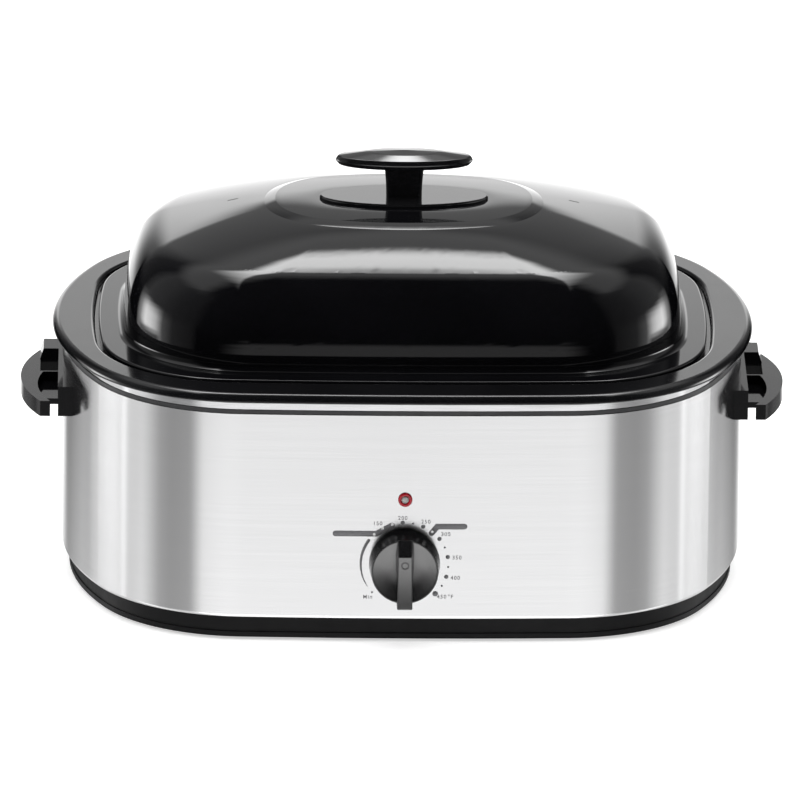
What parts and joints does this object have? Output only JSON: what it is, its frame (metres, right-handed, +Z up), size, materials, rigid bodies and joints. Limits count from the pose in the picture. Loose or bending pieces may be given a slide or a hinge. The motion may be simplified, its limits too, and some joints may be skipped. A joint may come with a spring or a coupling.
{
  "type": "electric roaster oven",
  "caption": "Rounded rectangular electric roaster oven: brushed steel housing with a dial at the front, side handles, lift-out enamelled pan with a wire rack, and a domed lift-off lid.",
  "frame": {"origin": "middle of the whole part's box in plan, on the surface that the feet stand on", "axes": "+Z up, -Y towards the front with the dial, +X to the right as seen from the front"},
  "size_m": [0.622, 0.4501, 0.353],
  "materials": {
    "shell_steel": "horizontally brushed, bright",
    "trim_steel": "polished",
    "seal_rubber": "satin",
    "well_steel": "plain rolled sheet",
    "heater_metal": "dull",
    "plated_steel": "zinc plated",
    "insulation": "matt glass-fibre blanket",
    "screw_steel": "plated",
    "black_plastic": "finely textured",
    "foot_rubber": "matt",
    "handle_plastic": "polished",
    "knob_plastic": "polished",
    "ceramic_white": "matt",
    "clear_plastic": "natural nylon",
    "brass_parts": "plain",
    "copper_tube": "drawn copper tube",
    "lamp_red": "clear red lens",
    "wire_sleeve": "braided glass-fibre sleeve",
    "pan_enamel": "glossy black porcelain enamel",
    "lid_enamel": "glossy black porcelain enamel",
    "rack_chrome": "polished wire"
  },
  "bodies": {
    "housing": {"outer_shell": "shell_steel", "trim_seal": "seal_rubber", "top_trim": "trim_steel", "heating_well": "well_steel", "heating_band": "heater_metal", "band_clamps": "plated_steel", "insulation_blanket": "insulation", "heat_shield": "plated_steel", "shield_screws": "screw_steel", "base_tray": "black_plastic", "base_screws": "screw_steel", "feet": "foot_rubber", "foot_screws": "screw_steel", "handle_left": "handle_plastic", "handle_right": "handle_plastic", "handle_screws": "screw_steel", "handle_washers": "plated_steel", "thermostat_body": "ceramic_white", "thermostat_bracket": "plated_steel", "thermostat_screws": "screw_steel", "thermostat_bulb": "copper_tube", "bulb_clip": "plated_steel", "lamp_lens": "lamp_red", "lamp_holder": "clear_plastic", "terminal_block": "clear_plastic", "terminal_screws": "brass_parts", "cord_gland": "black_plastic", "gland_nut": "black_plastic", "lead_wires": "wire_sleeve"},
    "control_knob": {"dial_knob": "knob_plastic", "thermostat_shaft": "plated_steel", "knob_spring": "screw_steel"},
    "pan": {"roasting_pan": "pan_enamel"},
    "rack": {"roasting_rack": "rack_chrome"},
    "lid": {"lid_shell": "lid_enamel", "lid_escutcheon": "black_plastic", "lid_knob": "knob_plastic", "knob_screw": "screw_steel", "knob_washer": "plated_steel"}
  },
  "joints": [
    {"name": "dial", "type": "hinge", "parent": "housing", "child": "control_knob", "pos_m": [0, -0.1965, 0.0679], "axis": [0, 1, 0], "range_deg": [0, 315]},
    {"name": "pan_lift", "type": "slide", "parent": "housing", "child": "pan", "axis": [0, 0, 1], "range_m": [0, 0.18]},
    {"name": "lid_lift", "type": "slide", "parent": "pan", "child": "lid", "axis": [0, 0, 1], "range_m": [0, 0.15]},
    {"name": "rack_lift", "type": "slide", "parent": "pan", "child": "rack", "axis": [0, 0, 1], "range_m": [0, 0.12]}
  ]
}
